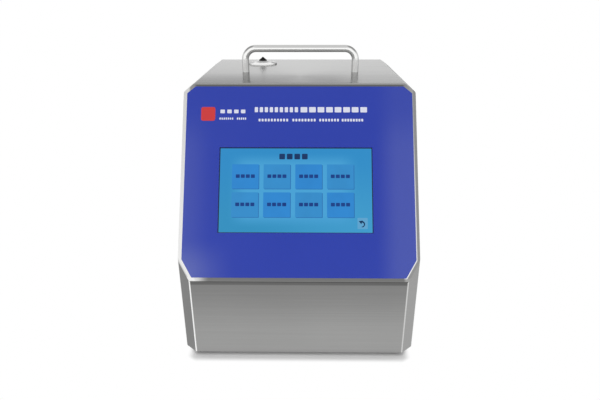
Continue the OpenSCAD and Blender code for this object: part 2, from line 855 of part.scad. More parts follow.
module pump_hose() color("lightgray") {
    hose_z(z_pump + pump_side + 1, z_shelf - shelf_t - collar_t - 1);
}

module pump_head() color("lightslategray") {
    translate([air_x, air_y, z_axis]) difference() {
        union() {
            along_y(-pump_side / 2, pump_side / 2) polygon(round_box(pump_side, pump_side, 4));
            rod_z([0, 0, pump_side / 2], barb_l, barb_r);
            rod_x([pump_side / 2, 0, 0], barb_l, barb_r);
        }
        rod_z([0, 0, 0], pump_side / 2 + barb_l + over, barb_bore_r);
        rod_x([0, 0, 0], pump_side / 2 + barb_l + over, barb_bore_r);
    }
}

module pump_motor() color("silver") {
    translate([air_x, air_y - pump_side / 2, z_axis]) {
        rod_y([0, -motor_l, 0], motor_l, motor_r);
        rod_y([0, -motor_l - 3, 0], 3, 6);
    }
}

// A plate on rubber grommets, with two saddles that hold the motor.
module pump_bracket() color("gainsboro") {
    y1 = air_y + pump_side / 2;
    y0 = y1 - pump_plate_l;
    motor_y = air_y - pump_side / 2;
    difference() {
        union() {
            translate([air_x - pump_plate_w / 2, y0, z_floor + grommet_h])
                cube([pump_plate_w, pump_plate_l, cradle_t]);
            for (y = [motor_y - 0.25 * motor_l, motor_y - 0.85 * motor_l])
                translate([air_x - motor_r, y - saddle_w / 2, z_pump])
                    cube([2 * motor_r, saddle_w, pump_side / 2 - motor_r / 2]);
        }
        rod_y([air_x, y0 - over, z_axis], pump_plate_l + 2 * over, motor_r + hole_gap);
        at_pump_screws() rod_z([0, 0, grommet_h - over], cradle_t + 2 * over, small_hole);
    }
}

module at_pump_screws() {
    y1 = air_y + pump_side / 2;
    for (i = [-1, 1], y = [y1 - pump_plate_l + 5, y1 - pump_side - 5])
        translate([air_x + i * (pump_plate_w / 2 - 5), y, z_floor]) children();
}

module pump_grommets() color("black") {
    at_pump_screws() difference() {
        cylinder(h = grommet_h, r = 4.5);
        rod_z([0, 0, -over], grommet_h + 2 * over, small_hole);
    }
}

// A hose along X between two facing barbs.
module filter_hose() color("lightgray") {
    x0 = pump_right + 1;
    l = filter_x0 - pump_right - 2;
    translate([0, air_y, z_axis]) difference() {
        rod_x([x0, 0, 0], l, hose_r);
        rod_x([x0 - over, 0, 0], l + 2 * over, hose_bore);
    }
}

module exhaust_filter() color("whitesmoke") {
    translate([filter_x0, air_y, z_axis]) rotate([0, 90, 0]) difference() {
        rotate_extrude() polygon([
            [0, -barb_l], [barb_r, -barb_l], [barb_r, 0], [barb_r + 3, 0], [filter_r, cap_end],
            [filter_r, filter_l - cap_end], [barb_r + 3, filter_l], [barb_r, filter_l],
            [barb_r, filter_l + barb_l], [0, filter_l + barb_l]
        ]);
        rod_z([0, 0, -barb_l - over], barb_l + 5 + over, barb_bore_r);
        rod_z([0, 0, filter_l - 5], barb_l + 5 + over, barb_bore_r);
    }
}

module filter_cradle() color("dimgray") {
    foot_l = filter_l / 2;
    translate([filter_x0 + filter_l / 2, air_y, 0]) difference() {
        union() {
            along_z(z_floor, z_axis - filter_r / 3)
                square([foot_l - 2 * small_head - 4, 1.6 * filter_r], center = true);
            along_z(z_floor, z_floor + 3) square([foot_l, 1.6 * filter_r], center = true);
        }
        rod_x([-filter_l, 0, z_axis], 2 * filter_l, filter_r + hole_gap);
        for (i = [-1, 1]) rod_z([i * (foot_l / 2 - small_head / 2 - 0.5), 0, z_floor - over],
                                3 + 2 * over, small_hole);
    }
}

// The exhaust hose: off the filter along X, round a quarter turn and back to the port.
module hose_run(r, grow) {
    turn_x = port_x - hose_bend;
    turn_y = air_y + hose_bend;
    x0 = filter_x1 + 1;
    translate([0, 0, z_axis]) {
        rod_x([x0 - grow, air_y, 0], turn_x - x0 + grow, r);
        translate([turn_x, turn_y, 0]) rotate([0, 0, -90])
            rotate_extrude(angle = 90) translate([hose_bend, 0]) circle(r = r);
        rod_y([port_x, turn_y, 0], port_low + hose_grip - turn_y + grow, r);
    }
}

module exhaust_hose() color("lightgray") {
    difference() {
        hose_run(hose_r, 0);
        hose_run(hose_bore, over);
    }
}

module exhaust_port() color("silver") {
    translate([port_x, y_rear, z_axis]) rotate([-90, 0, 0]) difference() {
        rotate_extrude() polygon([
            [0, -port_shank - barb_l], [barb_r, -port_shank - barb_l], [barb_r, -port_shank],
            [shank_r, -port_shank], [shank_r, 0], [collar_r, 0],
            [collar_r, port_collar_t - 0.6], [collar_r - 0.6, port_collar_t],
            [port_r, port_collar_t], [port_r, port_collar_t + port_l - 0.8],
            [port_r - 0.6, port_collar_t + port_l], [0, port_collar_t + port_l]
        ]);
        rod_z([0, 0, -port_shank - barb_l - over],
              port_shank + barb_l + 2 * over, barb_bore_r);
        rod_z([0, 0, port_bore_y0], rear_reach - port_bore_y0 + over, port_bore_r);
    }
}

module exhaust_nut() color("silver") {
    translate([port_x, y_panel - port_nut_t, z_axis]) rotate([-90, 0, 0]) difference() {
        hex_prism(2 * shank_r + 4, port_nut_t);
        rod_z([0, 0, -over], port_nut_t + 2 * over, shank_r + hole_gap);
    }
}

// ---- Power ----

module battery_pack() color("steelblue") {
    translate([0, battery_y + battery_size[1] / 2, 0]) along_z(z_floor, z_floor + battery_size[2])
        polygon(round_box(battery_size[0], battery_size[1], 4));
}

module battery_strap() color("gainsboro") {
    in_w = battery_size[0] / 2 + strap_gap;
    in_h = battery_size[2] + strap_gap;
    mid_y = battery_y + battery_size[1] / 2;
    difference() {
        along_y(mid_y - strap_w / 2, mid_y + strap_w / 2) translate([0, z_floor]) polygon([
            [-in_w - strap_foot, 0], [-in_w, 0], [-in_w, in_h], [in_w, in_h], [in_w, 0],
            [in_w + strap_foot, 0], [in_w + strap_foot, strap_t], [in_w + strap_t, strap_t],
            [in_w + strap_t, in_h + strap_t], [-in_w - strap_t, in_h + strap_t],
            [-in_w - strap_t, strap_t], [-in_w - strap_foot, strap_t]
        ]);
        at_strap_screws() rod_z([0, 0, -over], strap_t + 2 * over, small_hole);
    }
}

module at_strap_screws() {
    for (i = [-1, 1])
        translate([i * (battery_size[0] / 2 + strap_gap + strap_foot / 2 + strap_t / 2),
                   battery_y + battery_size[1] / 2, z_floor]) children();
}

module at_supply_corners() {
    for (i = [-1, 1], j = [0, 1])
        translate([supply_x + i * (supply_size[0] / 2 - 5),
                   supply_y + 5 + j * (supply_size[1] - 10), z_floor]) children();
}

module supply_standoffs() color("gold") {
    at_supply_corners() {
        difference() {
            hex_prism(2 * standoff_r, standoff_h);
            rod_z([0, 0, -over], 5 + over, small_hole);
        }
        rod_z([0, 0, standoff_h], supply_size[2] + 2, small_r);
    }
}

module power_supply() color("seagreen") {
    z0 = z_floor + standoff_h;
    top = z0 + supply_size[2];
    difference() {
        translate([supply_x, supply_y + supply_size[1] / 2, 0])
            along_z(z0, top) polygon(round_box(supply_size[0], supply_size[1], 1));
        at_supply_corners() rod_z([0, 0, standoff_h - over], supply_size[2] + 2 * over, small_hole);
    }
    // Transformer, heat sink, two capacitors and a choke, seated on the board.
    translate([supply_x, supply_y + supply_size[1] / 2, top - 0.1]) {
        translate([-transformer[0] / 2, -transformer[1] / 2, 0]) cube(transformer);
        translate([-heat_sink[0] / 2, transformer[1] / 2 + 4, 0]) cube(heat_sink);
        for (j = [-1, 1])
            rod_z([supply_size[0] / 2 - can_r - 2, j * (supply_size[1] / 2 - can_r - 8), 0],
                  can_h, can_r);
        translate([1.5 - supply_size[0] / 2, 9 - supply_size[1] / 2, 0]) cube(choke);
    }
}

// ---- Mains inlet, fuse and switch ----

module mains_body() {
    along_y(y_rear, y_rear + bezel_t) polygon(round_box(mains_flange[0], mains_flange[1], 4));
    along_y(y_rear - mains_deep, y_rear + over / 2) square([mains_w, mains_h], center = true);
}

module socket_shape(w, h) {
    c = 5;
    polygon([[-w / 2, -h / 2], [w / 2, -h / 2], [w / 2, h / 2 - c], [w / 2 - c, h / 2],
             [c - w / 2, h / 2], [-w / 2, h / 2 - c]]);
}

module power_inlet() color("black") {
    y_out = y_rear + bezel_t;
    translate([mains_x, 0, z_ports]) difference() {
        mains_body();
        translate([0, 0, socket_up]) along_y(y_out - socket_deep, y_out + over)
            socket_shape(socket_w, socket_h);
        translate([0, 0, -drawer_down]) along_y(y_out - drawer_deep - drawer_gap, y_out + over)
            square([drawer_w + 2 * drawer_gap, drawer_h + 2 * drawer_gap], center = true);
        for (i = [-1, 1]) rod_y([i * mains_ear, y_rear - over, 0], bezel_t + 2 * over, small_hole);
        at_pins() translate([0, -pin_root, 0]) cube([2.2, 2 * pin_root, 4.2], center = true);
    }
}

module at_pins() {
    y0 = y_rear + bezel_t - socket_deep;
    for (p = [[-7, 3.2], [7, 3.2], [0, 7.2]]) translate([p[0], y0, p[1]]) children();
}

module power_pins() color("gold") {
    translate([mains_x, 0, z_ports]) at_pins()
        translate([-1, -pin_root, -2]) cube([2, pin_root + pin_l, 4]);
}

module fuse_drawer() color("black") {
    y_out = y_rear + bezel_t;
    translate([mains_x, 0, z_ports - drawer_down]) difference() {
        union() {
            along_y(y_out - drawer_deep, y_out) square([drawer_w, drawer_h], center = true);
            along_y(y_out, y_out + 1.5) polygon(round_box(drawer_w + 3, drawer_h + 1, 1));
        }
        rod_y([0, y_out - drawer_deep + 1, 0], fuse_l, fuse_r + seat_gap);
        translate([0, y_out - drawer_deep + 1 + fuse_l / 2, drawer_h / 2])
            cube([2 * (fuse_r + seat_gap), fuse_l, drawer_h], center = true);
    }
}

module fuse() color("silver") {
    y0 = y_rear + bezel_t - drawer_deep + 1 + seat_gap;
    l = fuse_l - 2 * seat_gap;
    translate([mains_x, y0, z_ports - drawer_down]) {
        rod_y([0, 0, 0], l, fuse_r - 0.2);
        rod_y([0, 0, 0], 4, fuse_r);
        rod_y([0, l - 4, 0], 4, fuse_r);
    }
}

module switch_housing() color("black") {
    translate([switch_x, 0, z_ports]) difference() {
        union() {
            along_y(y_rear, y_rear + bezel_t)
                polygon(round_box(switch_w + 3, switch_h + 3, 1.5));
            along_y(y_rear - switch_deep, y_rear + over / 2) square([switch_w, switch_h], center = true);
        }
        along_y(y_rear - rocker_r - 1, y_rear + bezel_t + over)
            square([rocker_w + 2 * rocker_gap, 2 * (rocker_r + rocker_gap)], center = true);
        rod_x([-switch_w, y_rear, 0], 2 * switch_w, pivot_r + seat_gap);
    }
}

module switch_rocker() color("black") {
    face = 3.4;
    dip = 2.4;
    translate([switch_x, y_rear, z_ports]) rotate([-rocker_travel / 2, 0, 0]) {
        along_x(-rocker_w / 2, rocker_w / 2) intersection() {
            circle(r = rocker_r);
            polygon([[-4, -rocker_r], [face, -rocker_r], [dip, 0], [face, rocker_r],
                     [-4, rocker_r]]);
        }
        rod_x([-rocker_w / 2 - pivot_in, 0, 0], rocker_w + 2 * pivot_in, pivot_r);
    }
}

// ---- Signal ports ----

module dsub_shape(w, h) {
    polygon([[-w / 2 + 1.6, -h / 2], [w / 2 - 1.6, -h / 2], [w / 2, h / 2], [-w / 2, h / 2]]);
}

module serial_port() color("silver") {
    translate([serial_x, 0, z_ports]) {
        along_y(y_rear, y_rear + 0.8) polygon(round_box(dsub_flange[0], dsub_flange[1], 1.5));
        along_y(y_rear, y_rear + 5) difference() {
            dsub_shape(dsub_w - 1, dsub_h - 0.6);
            dsub_shape(dsub_w - 2.2, dsub_h - 1.8);
        }
        along_y(comm_y + board_t, y_rear + 0.8) square([dsub_w, dsub_h], center = true);
        for (k = [-2:2]) rod_y([k * 2.77, y_rear, 1.4], 4.5, 0.5);
        for (k = [-1.5:1.5]) rod_y([k * 2.77, y_rear, -1.4], 4.5, 0.5);
        for (i = [-1, 1]) translate([i * dsub_pitch / 2, y_rear + 0.8, 0])
            rotate([-90, 0, 0]) hex_prism(4.8, 4);
        for (i = [-1, 1]) rod_y([i * dsub_pitch / 2, y_panel - 1, 0], rear_t + 2, small_r);
    }
}

module usb_port() color("silver") {
    translate([usb_x, 0, z_ports]) {
        along_y(comm_y + board_t, y_rear + 0.6) difference() {
            square([usb_w, usb_h], center = true);
            square([usb_w - 0.8, usb_h - 0.8], center = true);
        }
        along_y(comm_y + board_t, comm_y + board_t + 3) square([usb_w - 0.4, usb_h - 0.4], center = true);
        translate([0, 0, 0.9]) along_y(comm_y + board_t, y_rear - 1) square([10, 1.8], center = true);
    }
}

module comm_board() color("seagreen") {
    x0 = usb_x - comm_edge;
    x1 = serial_x + dsub_flange[0] / 2 + 2;
    translate([(x0 + x1) / 2, 0, z_ports]) along_y(comm_y, comm_y + board_t)
        polygon(round_box(x1 - x0, comm_h, 1.5));
}

// ---- Fan ----

module fan_frame() color("dimgray") {
    translate([fan_x, y_panel - fan_depth, z_fan]) difference() {
        union() {
            along_y(0, fan_depth) difference() {
                polygon(round_box(fan_side, fan_side, 4));
                circle(r = fan_hole_r);
            }
            for (k = [0:2]) rotate([0, 120 * k, 0])
                translate([0, 0, -1.5]) cube([fan_hole_r + 0.5, strut_t, 3]);
            rod_y([0, 0, 0], strut_t, fan_hub_r);
        }
        rod_y([0, -over, 0], strut_t + 2 * over, shaft_r + seat_gap);
        for (i = [-1, 1], j = [-1, 1])
            rod_y([i * fan_pitch / 2, -over, j * fan_pitch / 2], fan_depth + 2 * over, small_hole);
    }
}

module fan_rotor() color("black") {
    hub_l = fan_depth - strut_t - 2 * fan_gap;
    translate([fan_x, y_panel - fan_depth + strut_t + fan_gap, z_fan]) {
        rod_y([0, 0, 0], hub_l, fan_hub_r);
        rod_y([0, -strut_t - fan_gap, 0], strut_t + fan_gap, shaft_r);
        intersection() {
            rod_y([0, 0, 0], hub_l, fan_hole_r - fan_gap);
            for (k = [0:blade_count - 1]) rotate([0, k * 360 / blade_count, 0])
                translate([fan_hub_r - 1, hub_l / 2, 0]) rotate([38, 0, 0])
                    translate([0, -hub_l, -0.6]) cube([fan_hole_r, 2 * hub_l, 1.2]);
        }
    }
}

// A guard stamped from sheet: flat rings on a cross, with an ear at each corner.
module fan_guard() color("silver") {
    last = floor((fan_hole_r - guard_wire) / guard_step);
    along_y(y_rear, y_rear + guard_wire) translate([fan_x, z_fan]) difference() {
        union() {
            for (k = [1:last]) difference() {
                circle(r = k * guard_step + guard_wire / 2);
                circle(r = k * guard_step - guard_wire / 2);
            }
            for (a = [45, 135]) rotate(a) square([fan_pitch * sqrt(2), 2 * guard_wire], center = true);
            at_corners(fan_pitch / 2) circle(r = 2 * small_r + 1.2);
        }
        at_corners(fan_pitch / 2) circle(r = small_hole);
    }
}

module fan_screws() color("silver") {
    for (i = [-1, 1], j = [-1, 1])
        translate([fan_x + i * fan_pitch / 2, y_rear + guard_wire, z_fan + j * fan_pitch / 2])
            rotate([-90, 0, 0]) pan_screw(small_r, guard_wire + rear_t + fan_depth - 1);
    for (i = [-1, 1]) translate([mains_x + i * mains_ear, y_rear + bezel_t, z_ports])
        rotate([-90, 0, 0]) pan_screw(small_r, bezel_t + rear_t + 3);
}

// ---- Feet and fasteners ----

module feet() color("black") {
    at_feet() difference() {
        cylinder(h = foot_h, r1 = foot_r - 1, r2 = foot_r);
        rod_z([0, 0, -over], foot_h - foot_web + over, head_r + 0.6);
        rod_z([0, 0, -over], foot_h + 2 * over, screw_hole);
    }
}

module foot_screws() color("silver") {
    at_feet() translate([0, 0, foot_h - foot_web]) mirror([0, 0, 1])
        pan_screw(screw_r, foot_web + base_t + 5);
}

module panel_screws() color("silver") {
    at_base_screws() mirror([0, 0, 1]) pan_screw(screw_r, base_t + sheet_t + 3);
    at_rear_screws() pan_screw(screw_r, rear_t + sheet_t + 3);
}

// Every small screw that comes up through the base plate, seen from its seat on the plate.
module at_inner_screws() {
    at_strap_screws() children();
    at_stand_screws() children();
    at_pump_screws() children();
    at_supply_corners() children();
    for (i = [-1, 1])
        translate([filter_x0 + filter_l / 2 + i * (filter_l / 4 - small_head / 2 - 0.5),
                   air_y, z_floor]) children();
}

module inner_screws() color("silver") {
    translate([0, 0, -base_t]) at_inner_screws() mirror([0, 0, 1])
        pan_screw(small_r, base_t + strap_t);
    at_sensor_screws() translate([0, 0, -shelf_t]) mirror([0, 0, 1])
        pan_screw(small_r, shelf_t + 6);
}

casing();
base_plate();
rear_panel();
front_overlay();
touch_glass();
lcd_module();
display_bracket();
bracket_nuts();
board_standoffs();
main_board();
handle();
handle_screws();
handle_washers();
inlet_fitting();
inlet_nut();
inlet_cap();
inlet_hose();
jet_nozzle();
sensor_block();
laser_module();
beam_trap();
detector_tube();
collecting_lens();
detector_board();
sensor_outlet();
sensor_bracket();
pump_hose();
pump_head();
pump_motor();
pump_bracket();
pump_grommets();
filter_hose();
exhaust_filter();
filter_cradle();
exhaust_hose();
exhaust_port();
exhaust_nut();
battery_pack();
battery_strap();
power_supply();
supply_standoffs();
power_inlet();
power_pins();
fuse_drawer();
fuse();
switch_housing();
switch_rocker();
serial_port();
usb_port();
comm_board();
fan_frame();
fan_rotor();
fan_guard();
fan_screws();
feet();
foot_screws();
panel_screws();
inner_screws();
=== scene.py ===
import json
import math

import bmesh
import bpy
from mathutils import Matrix, Vector


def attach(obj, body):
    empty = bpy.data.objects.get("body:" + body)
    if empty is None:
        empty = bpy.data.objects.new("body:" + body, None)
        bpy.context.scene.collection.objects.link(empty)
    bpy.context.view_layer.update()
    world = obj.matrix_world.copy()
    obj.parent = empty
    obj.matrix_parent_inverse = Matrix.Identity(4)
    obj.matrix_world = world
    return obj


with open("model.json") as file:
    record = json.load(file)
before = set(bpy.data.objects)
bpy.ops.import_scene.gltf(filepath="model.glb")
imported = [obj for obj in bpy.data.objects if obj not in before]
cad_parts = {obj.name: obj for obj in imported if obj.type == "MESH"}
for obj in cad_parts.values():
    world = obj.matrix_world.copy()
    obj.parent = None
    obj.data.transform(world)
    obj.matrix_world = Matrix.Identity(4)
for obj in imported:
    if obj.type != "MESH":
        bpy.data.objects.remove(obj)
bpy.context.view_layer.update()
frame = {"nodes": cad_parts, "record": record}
nodes = frame["nodes"]
mm = 0.001


# A node tree. Every node comes from add, which takes its type, its settings and then
# the values or links of its sockets.
class Graph:
    def __init__(self, tree):
        self.tree = tree

    def add(self, kind, settings=None, values=None):
        node = self.tree.nodes.new(kind)
        for key, value in (settings or {}).items():
            setattr(node, key, value)
        for key, value in (values or {}).items():
            self.fill(node.inputs[key], value)
        return node

    def fill(self, place, value):
        if isinstance(value, Wire):
            self.tree.links.new(value.socket, place)
        else:
            place.default_value = value

    def axes(self, vector):
        node = self.add("ShaderNodeSeparateXYZ", {}, {0: vector})
        return [Wire(self, output) for output in node.outputs]

    # 1 for the camera's own rays, and 1 for rays that a mirror or a glass sends on
    def rays(self):
        node = self.add("ShaderNodeLightPath")
        mirrored = Wire(self, node.outputs["Is Glossy Ray"])
        passed = Wire(self, node.outputs["Is Transmission Ray"])
        return Wire(self, node.outputs["Is Camera Ray"]), (mirrored + passed).between(0, 1)


# An output socket. Sums, products and quotients of it add Math nodes.
class Wire:
    def __init__(self, graph, socket):
        self.graph = graph
        self.socket = socket

    def maths(self, operation, *values):
        node = self.graph.add("ShaderNodeMath", {"operation": operation}, dict(enumerate(values)))
        return Wire(self.graph, node.outputs[0])

    def __add__(self, other):
        return self.maths("ADD", self, other)

    def __radd__(self, other):
        return self.maths("ADD", other, self)

    def __sub__(self, other):
        return self.maths("SUBTRACT", self, other)

    def __rsub__(self, other):
        return self.maths("SUBTRACT", other, self)

    def __mul__(self, other):
        return self.maths("MULTIPLY", self, other)

    def __rmul__(self, other):
        return self.maths("MULTIPLY", other, self)

    def __truediv__(self, other):
        return self.maths("DIVIDE", self, other)

    def __rtruediv__(self, other):
        return self.maths("DIVIDE", other, self)

    def __neg__(self):
        return self.maths("SUBTRACT", 0, self)

    def __abs__(self):
        return self.maths("ABSOLUTE", self)

    # 0 up to low, 1 from high on, with a soft step between them
    def between(self, low, high):
        node = self.graph.add("ShaderNodeMapRange", {"interpolation_type": "SMOOTHSTEP"},
                              {"Value": self, "From Min": low, "From Max": high})
        return Wire(self.graph, node.outputs["Result"])

    # 1 near the middle of a band, 0 outside its two soft edges
    def band(self, rise, fall):
        return self.between(*rise) * (1 - self.between(*fall))


class Surface(Graph):
    def __init__(self, name, values):
        self.material = bpy.data.materials.new(name)
        self.material.use_nodes = True
        super().__init__(self.material.node_tree)
        self.shader = self.tree.nodes["Principled BSDF"]
        coordinates = self.add("ShaderNodeTexCoord")
        self.place = Wire(self, coordinates.outputs["Object"])
        self.normal = Wire(self, coordinates.outputs["Normal"])
        for key, value in values.items():
            self.feed(key, value)

    def feed(self, name, value):
        self.fill(self.shader.inputs[name], value)

    def fed(self, name):
        return Wire(self, self.shader.inputs[name].links[0].from_socket)

    def noise(self, scale, stretch=(1, 1, 1), detail=3):
        spread = self.add("ShaderNodeMapping", {}, {
            "Vector": self.place, "Scale": [scale * s for s in stretch]})
        node = self.add("ShaderNodeTexNoise", {}, {
            "Vector": Wire(self, spread.outputs["Vector"]), "Scale": 1, "Detail": detail})
        return Wire(self, node.outputs["Fac"])

    def blend(self, factor, low, high):
        low, high = (c if isinstance(c, Wire) else (*c, 1) for c in (low, high))
        node = self.add("ShaderNodeMix", {"data_type": "RGBA"}, {0: factor, 6: low, 7: high})
        return Wire(self, node.outputs[2])

    def bump(self, height, strength, distance):
        node = self.add("ShaderNodeBump", {}, {
            "Strength": strength, "Distance": distance, "Height": height})
        self.feed("Normal", Wire(self, node.outputs["Normal"]))


# linear colour of a display's 0 to 255 values
def srgb(*values):
    return [((v / 255 + 0.055) / 1.055) ** 2.4 if v > 10 else v / 3295 for v in values]


def addObject(name, data):
    thing = bpy.data.objects.new(name, data)
    bpy.context.scene.collection.objects.link(thing)
    return thing


def addMesh(name, shape, surface, body="housing", matrix=None):
    data = bpy.data.meshes.new(name)
    if matrix is not None:
        shape.transform(matrix)
    shape.to_mesh(data)
    shape.free()
    data.materials.append(surface.material)
    thing = addObject(name, data)
    if body:
        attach(thing, body)
    return thing


def makeCamera():
    look = {
        "lens": 501.3, "imageWidth": 600,  # in pixels
        "place": (6.88, -574.01, 358.41),
        "right": (0.99992898, 0.01178385, -0.00178368),
        "down": (0.00297765, -0.39192656, -0.91999169),
        "ahead": (-0.01154011, 0.91992104, -0.39193381),
    }
    camera = addObject("camera", bpy.data.cameras.new("camera"))
    camera.data.sensor_width = 36
    camera.data.lens = camera.data.sensor_width * look["lens"] / look["imageWidth"]
    camera.data.clip_start = 0.01
    right, down, ahead = (Vector(look[key]) for key in ("right", "down", "ahead"))
    turn = Matrix((right, -down, -ahead)).transposed().to_4x4()
    camera.matrix_world = Matrix.Translation(Vector(look["place"]) * mm) @ turn
    bpy.context.scene.camera = camera


# The white backdrop is seen as it is. Metal sees it fade to a grey ceiling and grey walls,
# with a pale panel on each side in front.
def makeWorld():
    look = {
        "light": 0.6, "backdrop": 1.0, "ceiling": 0.65, "walls": 0.5, "fade": 0.72,
        "rightPanel": 0.8,
    }
    world = bpy.data.worlds.new("studio")
    bpy.context.scene.world = world
    world.use_nodes = True
    graph = Graph(world.node_tree)
    seen, mirrored = graph.rays()
    coordinates = graph.add("ShaderNodeTexCoord")
    east, north, up = graph.axes(Wire(graph, coordinates.outputs["Generated"]))
    ceiling = up.between(0.2, 0.65) * look["ceiling"]
    walls = (north + 0.6).between(0, 0.4) * abs(east).between(0.22, 0.4) * look["walls"]
    inFront = (-north).between(0.3, 0.6) * (1 - up.between(0.6, 0.8))
    panels = (-east).between(0.1, 0.22) + east.between(0.12, 0.24) * look["rightPanel"]
    panels = panels * inFront * (1 - abs(east).between(0.45, 0.7))
    dim = (ceiling + walls).between(0, 1.2) * look["fade"] * (1 - panels)
    more = look["backdrop"] - look["light"]
    level = look["light"] + more * seen + mirrored * (more - dim)
    background = world.node_tree.nodes["Background"]
    graph.fill(background.inputs["Color"], (1, 1, 1, 1))
    graph.fill(background.inputs["Strength"], level)


def makeLamps():
    look = {  # the way each lamp points, its softness in degrees and its strength
        "overhead": ((0.1, 0.25, -1), 60, 1.0),
        "left": ((1, 0.9, -0.7), 40, 0.35),
        "right": ((-1, 0.7, -0.8), 40, 0.25),
    }
    for name, (aim, softness, strength) in look.items():
        data = bpy.data.lights.new(name, "SUN")
        data.angle = math.radians(softness)
        data.energy = strength
        lamp = addObject(name, data)
        lamp.rotation_euler = Vector(aim).to_track_quat("-Z", "Y").to_euler()
        lamp.visible_glossy = False


# The floor shows white away from the object, and keeps its own tone and shadow close to it.
def makeFloor():
    look = {
        "size": 1.2, "tone": 0.72, "rough": 0.9, "middle": -0.007,
        "acrossFade": (0.106, 0.122), "alongFade": (0.1455, 0.1585), "mirrored": 0.5,
    }
    tone = look["tone"]
    floor = Surface("paleFloor", {"Base Color": (tone, tone, tone, 1), "Roughness": look["rough"]})
    seen, mirrored = floor.rays()
    x, y, z = floor.axes(floor.place)
    along = abs(y - look["middle"]).between(*look["alongFade"])
    away = (abs(x).between(*look["acrossFade"]) + along).between(0, 0.9)
    white = seen * away + mirrored * (look["mirrored"] + (1 - look["mirrored"]) * away)
    glow = floor.add("ShaderNodeEmission", {}, {"Strength": 1})
    mix = floor.add("ShaderNodeMixShader", {}, {
        0: white, 1: Wire(floor, floor.shader.outputs["BSDF"]),
        2: Wire(floor, glow.outputs["Emission"])})
    ground = floor.tree.nodes["Material Output"]
    floor.fill(ground.inputs["Surface"], Wire(floor, mix.outputs["Shader"]))
    shape = bmesh.new()
    bmesh.ops.create_grid(shape, x_segments=1, y_segments=1, size=look["size"])
    addMesh("floor", shape, floor, None)


makeCamera()
bpy.context.scene.view_settings.view_transform = "Standard"
makeWorld()
makeLamps()
makeFloor()
print("stage made")


